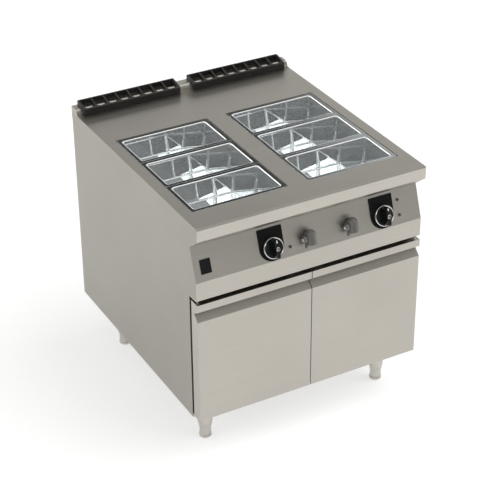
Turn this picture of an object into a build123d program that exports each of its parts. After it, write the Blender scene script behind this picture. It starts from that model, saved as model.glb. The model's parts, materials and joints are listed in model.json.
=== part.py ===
from build123d import *
import math
import os

# Catering bain-marie on a cupboard: two water wells with three lift-out pans each, two thermostat
# knobs and two fill taps on a sloped panel, two hinged doors, cast vent grilles and four screw feet.
# Millimetres, +Z up, the front faces -Y, and the origin is on the floor under the middle of the box.

# Heights and sheet gauges
hob_height = 850  # floor to deck
leg_height = 143  # floor to the underside of the cabinet
hob_sheet = 2.0  # hob top, control panel and lower rail
cabinet_sheet = 1.2  # sides, back, base, ceiling and doors
flange_width = 22  # folded edges of the sheet work
fit_gap = 0.3  # loose pieces at their seats
running_gap = 0.06  # radial play of pins and spindles
hole_gap = 0.4  # radial play of pipes and bushes in sheet

# One-third gastronorm pans
pan_length = 325  # across the cabinet
pan_pitch = 176  # front to back
pans_per_well = 3
pan_depth = 150
pan_sheet = 1.0
pan_flange = 12.5
pan_rim_height = 5  # turned-down edge
pan_rim_corner = 7
pan_rim_bevel = 3
pan_corner = 14
pan_floor_bevel = 5
pan_draft = 3  # degrees
pan_gap = 0.6  # between neighbouring rims
pan_below_deck = 1

# Water wells and the deck round them
well_depth = 211  # deck to well floor
well_sheet = 1.2
well_play = 2.5  # pans to well opening
well_seat = 11  # width of the step that carries the pans
well_opening_corner = 5
well_corner = 9
well_floor_bevel = 6
well_flange = 14  # under the deck
bar_width = 14
bar_height = 12
bar_bevel = 2
front_deck = 101  # nose to well opening
rear_deck = 266  # well opening to back edge
side_deck = 36
well_web = 68  # deck between the two openings
heater_space = 37  # well to cupboard ceiling

# Front profile: setbacks behind the nose and drops below the deck
nose_height = 42
nose_bend = 5
panel_top_setback = 50.5
panel_top_drop = 82.5
rail_setback = 12.5
rail_drop = 190

# Thermostat knobs, their bezels and lamps, placed along the panel and up it
knob_left_inset = 265.5  # from the panel's left end
knob_right_inset = 138  # from its right end
bezel_width = 84.5
bezel_sheet = 2.0
bezel_bottom_margin = 1.8
bezel_top_margin = 7.7
bezel_corner = 2
knob_radius = 31
knob_clearance = 1.2  # knob to bezel
knob_base_height = 11.8
skirt_wall = 3
skirt_lip_width = 8
skirt_lip_height = 2
grip_length = 62
grip_width = 15
grip_height = 27  # above the knob's base
grip_draft = 3
grip_bevel = 1.5
cap_radius = 6.5
cap_height = 3
cap_bevel = 1.2
spindle_radius = 3
spindle_knob_depth = 20
spindle_body_depth = 18
thermostat_size = 46
thermostat_depth = 32
thermostat_corner = 4
thermostat_neck_radius = 5
lamp_offset = 62  # knob to lamp, along the panel
lamp_low_rise = 29.5
lamp_high_rise = 79
lamp_lens_radius = 5
lamp_lens_height = 4
lamp_lens_bevel = 2
lamp_stem_radius = 3.6
lamp_stem_length = 16

# Fill taps
tap_left_x = -8
tap_right_x = 142
tap_rise = 45
tap_barrel_radius = 16.5
tap_barrel_length = 46
tap_barrel_lift = 19  # panel to barrel axis
tap_dome_bevel = 7
tap_foot_bevel = 2
tap_rosette_radius = 14
tap_rosette_height = 3
tap_stem_radius = 8
tap_nut_radius = 12
tap_nut_height = 6
tap_block_size = 28
tap_block_setback = 24  # panel to the middle of the valve block
tap_lever_drop = 1.5  # lever axis below the barrel's middle
tap_boss_radius = 11.5
tap_boss_height = 12
tap_boss_bevel = 5
tap_arm_length = 24  # lever axis to the middle of the rounded end
tap_arm_width = 8
tap_arm_thickness = 5
tap_spindle_radius = 4
tap_spindle_depth = 11

# Water pipes
fill_pipe_radius = 6
fill_pipe_bore = 5
fill_pipe_reach = 60  # front wall of the left well to its pipe
supply_pipe_radius = 7.5
supply_pipe_bore = 6.5
branch_radius = 6
branch_bore = 5
riser_bore = 4
fitting_radius = 10
fitting_length = 26
supply_x = 20
supply_drop = 20  # valve blocks to supply pipe
inlet_radius = 10.48  # half-inch pipe thread, over its crests
inlet_length = 18
inlet_nut_radius = 15
inlet_nut_height = 8
inlet_locknut_height = 5

# Doors
door_setback = 10
door_thickness = 40
door_rear_gap = 10
door_top_gap = 14
door_bottom_rise = 13  # above the cabinet's underside
door_side_gap = 1
door_meeting_gap = 2.5
door_lip_height = 25
recess_depth = 23
recess_upper_height = 14
recess_lower_height = 22
hinge_edge = 12  # pin to the door's outer edge
hinge_rear = 20  # pin to the door's rear face
hinge_pin_radius = 4
hinge_pin_length = 12  # inside the door
hinge_plate_height = 4
hinge_plate_nose = 9  # plate in front of the pin
catch_width = 40
catch_thickness = 12
catch_overlap = 16  # down behind the door's edge
catch_inset = 18  # from the middle of the cabinet

# Rear vents
ledge_top_depth = 25
ledge_radius = 20
ledge_foot = 8
ledge_sheet = 1.5
deck_slot_depth = 12
vent_slot_depth = 26
vent_slot_margin = 4  # slot to the back edge of the ledge
grille_gap = 50  # between the two grilles
grille_depth = 58
grille_height = 36
grille_side_margin = 20
grille_back_margin = 1
grille_cells = 8
grille_rib = 5
grille_end_wall = 7
grille_front_wall = 6
grille_back_wall = 6
grille_front_bend = 11
grille_back_bend = 3
grille_draft = 3
grille_rib_depth = 15
grille_edge = 1.5
rear_inset = 25  # back sheet, let in so that the connections clear a wall

# Base and legs
base_height = 17
leg_side_inset = 74
leg_front_inset = 122
leg_rear_inset = 167
leg_radius = 24
leg_end_radius = 20.8
leg_end_rise = 43  # floor to the sleeve's lower end
leg_cone_height = 17
foot_radius = 18.8
foot_pad_radius = 20.3
foot_pad_height = 12
foot_bevel = 4
foot_edge = 1
foot_stem_length = 85

# Heating elements
element_width = 9
element_height = 7
element_pitch = 70
element_runs = 4
element_end_gap = 55  # well wall to the bends

# Drains
drain_setback = 90  # well opening to drain
drain_pipe_radius = 16
drain_pipe_bore = 13
drain_flange_radius = 26
drain_flange_height = 2
valve_drop = 110  # cupboard ceiling to valve axis
valve_radius = 24
valve_height = 60
valve_cheek_radius = 15
valve_cheek_length = 34  # valve axis to its front face
drain_tail = 35  # below the cabinet
drain_tail_radius = 15
drain_lever_length = 85
drain_lever_width = 16
drain_lever_thickness = 5
drain_hub_radius = 11
drain_hub_length = 12
drain_spindle_radius = 5
drain_spindle_depth = 14

# Electrical connection
terminal_inset = 180  # from the left side
terminal_rise = 60  # cupboard ceiling to the box's middle
terminal_length = 120
terminal_height = 80
terminal_depth = 60
terminal_corner = 5
gland_radius = 11
gland_bore = 7
gland_nut_radius = 16
gland_nut_height = 7
gland_length = 22

# Places worked out from the sizes above
opening_length = pan_length + 2 * well_play
opening_width = pans_per_well * pan_pitch + 2 * well_play
tank_length = opening_length - 2 * well_seat
tank_width = opening_width - 2 * well_seat
body_length = pan_length - 2 * pan_flange
body_width = pan_pitch - 2 * pan_flange
cabinet_width = 2 * (side_deck + opening_length) + well_web
cabinet_depth = front_deck + opening_width + rear_deck
half_width = cabinet_width / 2
inner_half = half_width - cabinet_sheet
grille_length = half_width - grille_side_margin - grille_gap / 2
terminal_x = terminal_inset - half_width

panel_slope = math.atan2(panel_top_setback - rail_setback, rail_drop - panel_top_drop)
panel_length = math.hypot(panel_top_setback - rail_setback, rail_drop - panel_top_drop)
knob_rise = bezel_bottom_margin + bezel_width / 2
knob_lift = bezel_sheet + knob_clearance
grip_lift = knob_lift + knob_base_height
grip_top = grip_lift + grip_height
grip_end_rise = knob_rise - grip_length / 2
knob_proud = grip_top * math.cos(panel_slope) - grip_end_rise * math.sin(panel_slope) - rail_setback

front = (knob_proud - cabinet_depth) / 2
rear = front + cabinet_depth
rear_panel_y = rear - rear_inset
rail_y = front + rail_setback
door_front = front + door_setback
door_rear = door_front + door_thickness
cabinet_front = door_rear + door_rear_gap
well_y = front + front_deck + opening_width / 2
drain_y = front + front_deck + drain_setback
hinge_y = door_rear - hinge_rear

deck_under = hob_height - hob_sheet
pan_top = hob_height - pan_below_deck
pan_seat = pan_top - pan_rim_height
well_floor = hob_height - well_depth
well_under = well_floor - well_sheet
ceiling_top = well_under - heater_space
rail_top = hob_height - rail_drop
rail_bottom = ceiling_top - cabinet_sheet - hob_sheet
door_top = rail_bottom - door_top_gap
door_bottom = leg_height + door_bottom_rise
base_top = leg_height + base_height

panel_plane = Plane(
    (0, rail_y, rail_top), x_dir=(1, 0, 0), z_dir=(0, -math.cos(panel_slope), math.sin(panel_slope))
)
panel_up = panel_plane.y_dir
panel_out = panel_plane.z_dir
sides = (("left", -1), ("right", 1))
well_x = (opening_length + well_web) / 2
knob_x = {"left": knob_left_inset - half_width, "right": half_width - knob_right_inset}
tap_x = {"left": tap_left_x, "right": tap_right_x}
lamp_spots = (
    (knob_x["left"] + lamp_offset, lamp_low_rise),
    (knob_x["right"] + lamp_offset, lamp_low_rise),
    (knob_x["right"] + lamp_offset, lamp_high_rise),
)
pan_rows = (("rear", 1), ("middle", 0), ("front", -1))
leg_spots = {
    f"{end}_{name}": (side * (half_width - leg_side_inset), y)
    for end, y in (("front", front + leg_front_inset), ("rear", rear - leg_rear_inset))
    for name, side in sides
}


def panel_spot(x, rise, lift=0):
    """Plane parallel to the control panel, its origin at a place on or off the panel."""
    return Plane(panel_plane.from_local_coords(Vector(x, rise, lift)), x_dir=(1, 0, 0), z_dir=panel_out)


def turning_plane(x, rise):
    """Plane through the panel's normal at a place on the panel, for profiles that are revolved about it."""
    return Plane(panel_spot(x, rise).origin, x_dir=(1, 0, 0), z_dir=-panel_up)


def sheet_inside(path, thickness):
    """Inner line of a folded sheet whose outer line is the path, with the sheet on the path's left."""
    points = [Vector(*point) for point in path]
    runs = [(after - before).normalized() for before, after in zip(points, points[1:])]
    lefts = [Vector(-run.Y, run.X) for run in runs]
    inside = [points[0] + lefts[0] * thickness]
    for corner, before, after in zip(points[1:-1], lefts, lefts[1:]):
        inside.append(corner + (before + after) * (thickness / (1 + before.dot(after))))
    inside.append(points[-1] + lefts[-1] * thickness)
    return inside


def folded_sheet(path, thickness):
    """Closed outline of a folded sheet."""
    return [Vector(*point) for point in path] + sheet_inside(path, thickness)[::-1]


def finish(piece, name):
    """Label a finished piece and write its file."""
    piece.part.label = name
    export_step(piece.part, f"parts/{name}.step")


os.makedirs("parts", exist_ok=True)

# Front profile of the cabinet, from the back edge over the deck and down the front
nose_path = [
    (rear, hob_height),
    (front, hob_height),
    (front, hob_height - nose_height),
    (front + panel_top_setback, hob_height - panel_top_drop),
]
front_path = [(rear, leg_height)] + nose_path + [
    (rail_y, rail_top),
    (rail_y, rail_bottom),
    (cabinet_front, rail_bottom),
]

# Side panels: cut to the front profile, less the gauge of the sheets that wrap round them
side_outline = sheet_inside(front_path, hob_sheet) + [(cabinet_front, leg_height)]
side_panels = {}
for name, side in sides:
    outer_x = side * half_width
    flange_align = Align.MAX if side > 0 else Align.MIN
    with BuildPart() as side_panel:
        with BuildSketch(Plane.YZ.offset(outer_x)):
            with BuildLine():
                Polyline(*side_outline, close=True)
            make_face()
        extrude(amount=-side * cabinet_sheet)
        with BuildSketch(Plane.XY.offset(base_top)):
            with Locations((outer_x, cabinet_front), (outer_x, rear_panel_y - 2 * cabinet_sheet)):
                Rectangle(flange_width, cabinet_sheet, align=(flange_align, Align.MIN))
        extrude(amount=rail_bottom - base_top)
    side_panels[name] = side_panel
    finish(side_panel, f"side_panel_{name}")

# Hob top: one folded sheet with a nose, two well openings and two vent slots
underside_run = (Vector(*nose_path[3]) - Vector(*nose_path[2])).normalized()
panel_back = Vector(hob_sheet / math.cos(panel_slope), 0)
panel_run = Vector(math.sin(panel_slope), math.cos(panel_slope))
underside_end = Vector(*nose_path[3]) + underside_run * (
    panel_back.cross(panel_run).Z / underside_run.cross(panel_run).Z
)
flange_end = underside_end - panel_run * flange_width
hob_path = [(rear, hob_height - flange_width)] + nose_path[:3] + [
    (underside_end.X, underside_end.Y),
    (flange_end.X, flange_end.Y),
]
grille_x = half_width - grille_side_margin - grille_length / 2
slot_length = grille_length - 2 * grille_end_wall
ledge_bend_y = rear - ledge_top_depth
with BuildPart() as hob_top:
    with BuildSketch(Plane.YZ):
        with BuildLine():
            Polyline(*folded_sheet(hob_path, hob_sheet), close=True)
        make_face()
    extrude(amount=half_width, both=True)
    for outer_corner, inner_corner in zip(hob_path[2:4], sheet_inside(hob_path, hob_sheet)[2:4]):
        folds = hob_top.edges().filter_by(Axis.X)
        outer_fold = folds.sort_by_distance((0, *outer_corner))[0]
        inner_fold = folds.sort_by_distance((0, inner_corner.X, inner_corner.Y))[0]
        fillet(inner_fold, nose_bend - hob_sheet)
        fillet(outer_fold, nose_bend)
    with BuildSketch(Plane.XY.offset(hob_height)):
        with Locations((-well_x, well_y), (well_x, well_y)):
            RectangleRounded(opening_length, opening_width, well_opening_corner)
        with Locations((-grille_x, ledge_bend_y), (grille_x, ledge_bend_y)):
            Rectangle(slot_length, deck_slot_depth, align=(Align.CENTER, Align.MAX))
    extrude(amount=-hob_sheet, mode=Mode.SUBTRACT)
    for side_panel in side_panels.values():
        add(side_panel.part, mode=Mode.SUBTRACT)
finish(hob_top, "hob_top")

# Vent ledge: a bent sheet along the back of the deck, rounded in front, turned down behind, with end caps
with BuildPart() as vent_ledge:
    with BuildSketch(Plane.YZ):
        with BuildLine():
            top_outer = Line((rear, hob_height + ledge_radius), (ledge_bend_y, hob_height + ledge_radius))
            bend_outer = CenterArc((ledge_bend_y, hob_height), ledge_radius, 90, 90)
            Polyline(
                bend_outer @ 1,
                (ledge_bend_y - ledge_radius + ledge_sheet, hob_height),
            )
            bend_inner = CenterArc((ledge_bend_y, hob_height), ledge_radius - ledge_sheet, 180, -90)
            Polyline(bend_inner @ 1, (rear, hob_height + ledge_radius - ledge_sheet), top_outer @ 0)
        make_face()
        with Locations((ledge_bend_y - ledge_radius + ledge_sheet, hob_height)):
            Rectangle(ledge_foot + ledge_sheet, ledge_sheet, align=(Align.MAX, Align.MIN))
        with Locations((rear, hob_height)):
            Rectangle(ledge_sheet, ledge_radius, align=(Align.MAX, Align.MIN))
    extrude(amount=half_width, both=True)
    for end in (-1, 1):
        with BuildSketch(Plane.YZ.offset(end * half_width)):
            with BuildLine():
                cap_top = Line((rear, hob_height + ledge_radius), (ledge_bend_y, hob_height + ledge_radius))
                cap_bend = CenterArc((ledge_bend_y, hob_height), ledge_radius, 90, 90)
                Polyline(cap_bend @ 1, (rear, hob_height), cap_top @ 0)
            make_face()
        extrude(amount=-end * ledge_sheet)
    with BuildSketch(Plane.XY.offset(hob_height + ledge_radius)):
        with Locations((-grille_x, rear - vent_slot_margin), (grille_x, rear - vent_slot_margin)):
            Rectangle(slot_length, vent_slot_depth, align=(Align.CENTER, Align.MAX))
    extrude(amount=-ledge_radius / 2, mode=Mode.SUBTRACT)
finish(vent_ledge, "vent_ledge")

# Vent grilles: castings with eight drafted cells, on a front skirt and end walls cut to fit the ledge
grille_y = rear - grille_back_margin - grille_depth / 2
cell_pitch = (grille_length - 2 * grille_end_wall + grille_rib) / grille_cells
cell_depth = grille_depth - grille_front_wall - grille_back_wall
cell_y = grille_y + (grille_front_wall - grille_back_wall) / 2
ledge_front = ledge_bend_y - ledge_radius - ledge_foot
for name, side in sides:
    grille_middle = side * grille_x
    with BuildPart() as vent_grille:
        with BuildSketch(Plane.XY.offset(hob_height)):
            with Locations((grille_middle, grille_y)):
                RectangleRounded(grille_length, grille_depth, grille_back_bend)
        extrude(amount=grille_height)
        chamfer(vent_grille.faces().sort_by(Axis.Z)[-1].edges(), grille_edge)
        with BuildSketch(Plane.XY.offset(hob_height + grille_height)) as cells:
            with Locations((grille_middle, cell_y)):
                with GridLocations(cell_pitch, cell_depth, grille_cells, 1):
                    Rectangle(cell_pitch - grille_rib, cell_depth)
            fillet(cells.vertices().group_by(Axis.Y)[-1], grille_back_bend)
            fillet(cells.vertices().group_by(Axis.Y)[0], grille_front_bend)
        extrude(amount=-grille_height, taper=grille_draft, mode=Mode.SUBTRACT)
        with BuildSketch(Plane.XY.offset(hob_height)):
            with Locations((grille_middle, grille_y - grille_depth / 2 + grille_front_wall)):
                Rectangle(slot_length, grille_depth, align=(Align.CENTER, Align.MIN))
        extrude(amount=grille_height - grille_rib_depth, mode=Mode.SUBTRACT)
        with BuildSketch(Plane.YZ.offset(grille_middle)):
            with Locations((ledge_bend_y, hob_height)):
                Circle(ledge_radius + fit_gap)
                Rectangle(ledge_top_depth, ledge_radius + fit_gap, align=(Align.MIN, Align.MIN))
            with Locations((ledge_front - fit_gap, hob_height)):
                Rectangle(ledge_foot + ledge_radius, ledge_sheet + fit_gap, align=(Align.MIN, Align.MIN))
        extrude(amount=grille_length, both=True, mode=Mode.SUBTRACT)
    finish(vent_grille, f"vent_grille_{name}")

# Control panel: a flat sheet between the nose and the rail, pierced for knobs, taps and lamps
with BuildPart() as control_panel:
    with BuildSketch(Plane.YZ):
        with BuildLine():
            Polyline(
                (rail_y, rail_top),
                nose_path[3],
                (underside_end.X, underside_end.Y),
                (rail_y + panel_back.X, rail_top),
                close=True,
            )
        make_face()
    extrude(amount=half_width, both=True)
    with BuildSketch(panel_plane):
        with Locations(*[(x, knob_rise) for x in knob_x.values()]):
            Circle(thermostat_neck_radius + hole_gap)
        with Locations(*[(x, tap_rise) for x in tap_x.values()]):
            Circle(tap_stem_radius + hole_gap)
        with Locations(*lamp_spots):
            Circle(lamp_stem_radius + hole_gap)
    extrude(amount=-2 * hob_sheet, mode=Mode.SUBTRACT)
    for side_panel in side_panels.values():
        add(side_panel.part, mode=Mode.SUBTRACT)
finish(control_panel, "control_panel")

# Lower rail: a folded channel that carries the panel's foot, the ceiling and the upper hinges
rail_path = [
    (rail_y + flange_width, rail_top),
    (rail_y, rail_top),
    (rail_y, rail_bottom),
    (cabinet_front, rail_bottom),
]
with BuildPart() as lower_rail:
    with BuildSketch(Plane.YZ):
        with BuildLine():
            Polyline(*folded_sheet(rail_path, hob_sheet), close=True)
        make_face()
    extrude(amount=half_width, both=True)
    for side_panel in side_panels.values():
        add(side_panel.part, mode=Mode.SUBTRACT)
finish(lower_rail, "lower_rail")

# Base panel: a shallow tray turned down all round, open for the drain tails
base_depth = rear_panel_y - cabinet_sheet - cabinet_front
base_y = cabinet_front + base_depth / 2
with BuildPart() as base_panel:
    with BuildSketch(Plane.XY.offset(leg_height)):
        with Locations((0, base_y)):
            Rectangle(2 * inner_half, base_depth)
            Rectangle(2 * (inner_half - cabinet_sheet), base_depth - 2 * cabinet_sheet, mode=Mode.SUBTRACT)
    extrude(amount=base_height)
    with BuildSketch(Plane.XY.offset(base_top)):
        with Locations((0, base_y)):
            Rectangle(2 * inner_half, base_depth)
        with Locations((-well_x, drain_y), (well_x, drain_y)):
            Circle(drain_pipe_radius + hole_gap, mode=Mode.SUBTRACT)
    extrude(amount=-cabinet_sheet)
finish(base_panel, "base_panel")

# Cupboard ceiling: a flat sheet on the rail, between the sides, pierced for the drains
ceiling_front = rail_y + hob_sheet
ceiling_rear = rear_panel_y - cabinet_sheet
with BuildPart() as cupboard_ceiling:
    with BuildSketch(Plane.XY.offset(ceiling_top)):
        with Locations((0, ceiling_front)):
            Rectangle(2 * inner_half, ceiling_rear - ceiling_front, align=(Align.CENTER, Align.MIN))
        with Locations((-well_x, drain_y), (well_x, drain_y)):
            Circle(drain_pipe_radius + hole_gap, mode=Mode.SUBTRACT)
    extrude(amount=-cabinet_sheet)
finish(cupboard_ceiling, "cupboard_ceiling")

# Rear panel: let in behind the sides, pierced for the water inlet and the cable gland
valve_block = {name: panel_spot(x, tap_rise, -tap_block_setback).origin for name, x in tap_x.items()}
manifold_y = valve_block["left"].Y
supply_z = valve_block["left"].Z - tap_block_size / 2 - supply_drop
terminal_z = ceiling_top + terminal_rise
tank_front = well_y - tank_width / 2
fill_port = {
    "left": Plane(
        (tank_length / 2 - well_x, tank_front + fill_pipe_reach, valve_block["left"].Z), z_dir=(1, 0, 0)
    ),
    "right": Plane((tap_right_x, tank_front, valve_block["right"].Z), z_dir=(0, -1, 0)),
}
with BuildPart() as rear_panel:
    with BuildSketch(Plane.XZ.offset(-rear_panel_y)):
        with Locations((0, leg_height)):
            Rectangle(2 * inner_half, deck_under - leg_height, align=(Align.CENTER, Align.MIN))
        with Locations((supply_x, supply_z)):
            Circle(inlet_radius + hole_gap, mode=Mode.SUBTRACT)
        with Locations((terminal_x, terminal_z)):
            Circle(gland_radius + hole_gap, mode=Mode.SUBTRACT)
    extrude(amount=cabinet_sheet)
finish(rear_panel, "rear_panel")

# Wells: pressed tanks with a flange under the deck and a step that carries the pans
for name, side in sides:
    middle = (side * well_x, well_y)
    with BuildPart() as well_hollow:
        with BuildSketch(Plane.XY.offset(pan_seat)):
            with Locations(middle):
                RectangleRounded(tank_length, tank_width, well_corner)
        extrude(amount=well_floor - pan_seat)
        chamfer(well_hollow.faces().sort_by(Axis.Z)[0].edges(), well_floor_bevel)
        with BuildSketch(Plane.XY.offset(deck_under)):
            with Locations(middle):
                RectangleRounded(opening_length, opening_width, well_opening_corner)
        extrude(amount=pan_seat - deck_under)
    with BuildPart() as well:
        with BuildSketch(Plane.XY.offset(deck_under)):
            with Locations(middle):
                RectangleRounded(
                    opening_length + 2 * well_flange,
                    opening_width + 2 * well_flange,
                    well_opening_corner + well_flange,
                )
        extrude(amount=-well_sheet)
        with BuildSketch(Plane.XY.offset(deck_under)):
            with Locations(middle):
                RectangleRounded(
                    opening_length + 2 * well_sheet,
                    opening_width + 2 * well_sheet,
                    well_opening_corner + well_sheet,
                )
        extrude(amount=pan_seat - well_sheet - deck_under)
        with BuildSketch(Plane.XY.offset(pan_seat)):
            with Locations(middle):
                RectangleRounded(
                    tank_length + 2 * well_sheet,
                    tank_width + 2 * well_sheet,
                    well_corner + well_sheet,
                )
        extrude(amount=well_under - pan_seat)
        chamfer(well.faces().sort_by(Axis.Z)[0].edges(), well_floor_bevel)
        add(well_hollow.part, mode=Mode.SUBTRACT)
        with BuildSketch(Plane.XY.offset(well_floor)):
            with Locations((side * well_x, drain_y)):
                Circle(drain_pipe_radius + hole_gap)
        extrude(amount=-well_sheet, mode=Mode.SUBTRACT)
        with BuildSketch(fill_port[name]):
            Circle(fill_pipe_radius + hole_gap)
        extrude(amount=2 * well_sheet, both=True, mode=Mode.SUBTRACT)
    finish(well, f"well_{name}")

# Cross bars: two welded across each well, under the edges where neighbouring pans meet
with BuildPart() as cross_bars:
    with BuildSketch(Plane.XY.offset(pan_seat)):
        with Locations((-well_x, well_y), (well_x, well_y)):
            with GridLocations(opening_length, pan_pitch, 1, pans_per_well - 1):
                Rectangle(tank_length, bar_width)
    extrude(amount=-bar_height)
    chamfer(cross_bars.faces().group_by(Axis.Z)[-1].edges().filter_by(Axis.X), bar_bevel)
finish(cross_bars, "cross_bars")

# Pans: drawn with a drafted body, a rounded mouth and a turned-down rim
for name, side in sides:
    for row, step in pan_rows:
        middle = (side * well_x, well_y + step * pan_pitch)
        with BuildPart() as pan_hollow:
            with BuildSketch(Plane.XY.offset(pan_top)):
                with Locations(middle):
                    RectangleRounded(body_length, body_width, pan_corner)
            extrude(amount=pan_sheet - pan_depth, taper=pan_draft)
            chamfer(pan_hollow.faces().sort_by(Axis.Z)[0].edges(), pan_floor_bevel)
        with BuildPart() as pan:
            with BuildSketch(Plane.XY.offset(pan_top)):
                with Locations(middle):
                    RectangleRounded(
                        body_length + 2 * pan_sheet,
                        body_width + 2 * pan_sheet,
                        pan_corner + pan_sheet,
                    )
            extrude(amount=-pan_depth, taper=pan_draft)
            chamfer(pan.faces().sort_by(Axis.Z)[0].edges(), pan_floor_bevel)
            with BuildSketch(Plane.XY.offset(pan_top)):
                with Locations(middle):
                    RectangleRounded(pan_length - pan_gap, pan_pitch - pan_gap, pan_rim_corner)
            extrude(amount=-pan_sheet)
            rim_under = pan.faces().filter_by(Axis.Z).sort_by(Axis.Z)[1]
            chamfer(rim_under.inner_wires()[0].edges(), pan_rim_bevel)
            add(pan_hollow.part, mode=Mode.SUBTRACT)
            chamfer(pan.faces().sort_by(Axis.Z)[-1].inner_wires()[0].edges(), pan_rim_bevel)
            with BuildSketch(Plane.XY.offset(pan_top)):
                with Locations(middle):
                    RectangleRounded(pan_length - pan_gap, pan_pitch - pan_gap, pan_rim_corner)
                    RectangleRounded(
                        pan_length - pan_gap - 2 * pan_sheet,
                        pan_pitch - pan_gap - 2 * pan_sheet,
                        pan_rim_corner - pan_sheet,
                        mode=Mode.SUBTRACT,
                    )
            extrude(amount=-pan_rim_height)
        finish(pan, f"pan_{name}_{row}")

# Knob bezels: flat black plates, square above and round below
bezel_height = panel_length - bezel_bottom_margin - bezel_top_margin
for name, x in knob_x.items():
    with BuildPart() as knob_bezel:
        with BuildSketch(panel_spot(x, knob_rise)) as bezel_outline:
            Circle(bezel_width / 2)
            Rectangle(bezel_width, bezel_height - bezel_width / 2, align=(Align.CENTER, Align.MIN))
            fillet(bezel_outline.vertices().group_by(Axis.Y)[-1], bezel_corner)
            Circle(thermostat_neck_radius + hole_gap, mode=Mode.SUBTRACT)
        extrude(amount=bezel_sheet)
    finish(knob_bezel, f"knob_bezel_{name}")

# Knobs: a round base with a bar grip that steps over the skirt's lip
lip_radius = knob_radius + skirt_wall - skirt_lip_width
for name, x in knob_x.items():
    knob_axis = Axis(panel_spot(x, knob_rise).origin, panel_out)
    with BuildPart() as knob:
        with BuildSketch(panel_spot(x, knob_rise, knob_lift)):
            Circle(knob_radius)
        extrude(amount=knob_base_height)
        with BuildSketch(panel_spot(x, knob_rise, grip_lift)):
            SlotOverall(grip_length, grip_width, rotation=90)
        extrude(amount=grip_height, taper=grip_draft)
        chamfer(knob.faces().sort_by(knob_axis)[-1].edges(), grip_bevel)
        with BuildSketch(panel_spot(x, knob_rise, grip_lift)):
            Circle(grip_length)
            Circle(lip_radius - fit_gap, mode=Mode.SUBTRACT)
        extrude(amount=skirt_lip_height + fit_gap, mode=Mode.SUBTRACT)
        with BuildSketch(panel_spot(x, knob_rise, knob_lift)):
            Circle(spindle_radius + running_gap)
        extrude(amount=spindle_knob_depth, mode=Mode.SUBTRACT)
    finish(knob, f"knob_{name}")

    # Skirt: a bright ring round the base, with a bevelled lip turned in over it
    with BuildPart() as knob_skirt:
        with BuildSketch(turning_plane(x, knob_rise)):
            with BuildLine():
                Polyline(
                    (knob_radius, knob_lift),
                    (knob_radius + skirt_wall, knob_lift),
                    (knob_radius + skirt_wall, grip_lift + skirt_lip_height),
                    (knob_radius, grip_lift + skirt_lip_height),
                    (lip_radius, grip_lift),
                    (knob_radius, grip_lift),
                    close=True,
                )
            make_face()
        revolve(axis=knob_axis)
    finish(knob_skirt, f"knob_skirt_{name}")

    # Cap: a bright button in the middle of the grip
    with BuildPart() as knob_cap:
        with BuildSketch(panel_spot(x, knob_rise, grip_top)):
            Circle(cap_radius)
        extrude(amount=cap_height)
        chamfer(knob_cap.edges().sort_by(knob_axis)[-1], cap_bevel)
    finish(knob_cap, f"knob_cap_{name}")

    # Thermostat: its body hangs on the back of the panel, its neck comes through panel and bezel
    with BuildPart() as thermostat:
        with BuildSketch(panel_spot(x, knob_rise, -hob_sheet)):
            RectangleRounded(thermostat_size, thermostat_size, thermostat_corner)
        extrude(amount=-thermostat_depth)
        with BuildSketch(panel_spot(x, knob_rise, -hob_sheet)):
            Circle(thermostat_neck_radius)
        extrude(amount=hob_sheet + bezel_sheet)
        with BuildSketch(panel_spot(x, knob_rise, bezel_sheet)):
            Circle(spindle_radius + running_gap)
        extrude(amount=-(bezel_sheet + hob_sheet + spindle_body_depth), mode=Mode.SUBTRACT)
    finish(thermostat, f"thermostat_{name}")

    # Spindle: from the thermostat into the knob
    with BuildPart() as spindle:
        with BuildSketch(panel_spot(x, knob_rise, -hob_sheet - spindle_body_depth + fit_gap)):
            Circle(spindle_radius)
        extrude(amount=hob_sheet + spindle_body_depth + knob_lift + spindle_knob_depth - 2 * fit_gap)
    finish(spindle, f"spindle_{name}")

# Indicator lamps: bevelled lenses on stems through the panel
with BuildPart() as indicator_lamps:
    for x, rise in lamp_spots:
        with BuildSketch(turning_plane(x, rise)):
            with BuildLine():
                Polyline(
                    (0, -lamp_stem_length),
                    (lamp_stem_radius, -lamp_stem_length),
                    (lamp_stem_radius, 0),
                    (lamp_lens_radius, 0),
                    (lamp_lens_radius, lamp_lens_height - lamp_lens_bevel),
                    (lamp_lens_radius - lamp_lens_bevel, lamp_lens_height),
                    (0, lamp_lens_height),
                    close=True,
                )
            make_face()
        revolve(axis=Axis(panel_spot(x, rise).origin, panel_out))
finish(indicator_lamps, "indicator_lamps")

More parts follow.
